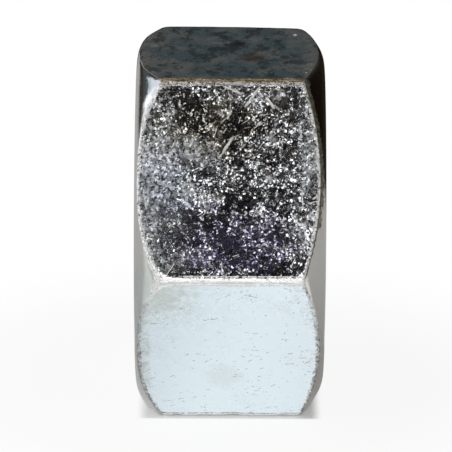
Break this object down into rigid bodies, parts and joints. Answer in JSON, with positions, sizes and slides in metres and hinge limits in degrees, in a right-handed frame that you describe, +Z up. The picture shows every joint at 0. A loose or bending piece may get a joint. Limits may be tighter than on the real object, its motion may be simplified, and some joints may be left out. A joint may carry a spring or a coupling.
{
  "type": "lug nut",
  "caption": "Plain hexagon wheel nut with a chamfer at both ends and a fine right-hand thread, lying on one wrench flat.",
  "frame": {"origin": "on the surface the nut lies on, under its middle: half-way along its height and between its corners", "axes": "+X along the thread axis towards the bearing end, +Y horizontal across the corners, +Z up"},
  "size_m": [0.0144, 0.031, 0.027],
  "materials": {
    "plated_steel": "bright zinc-plated steel with a grainy, scratched surface on the wrench flats"
  },
  "bodies": {
    "root": {"nut_body": "plated_steel"}
  },
  "joints": []
}
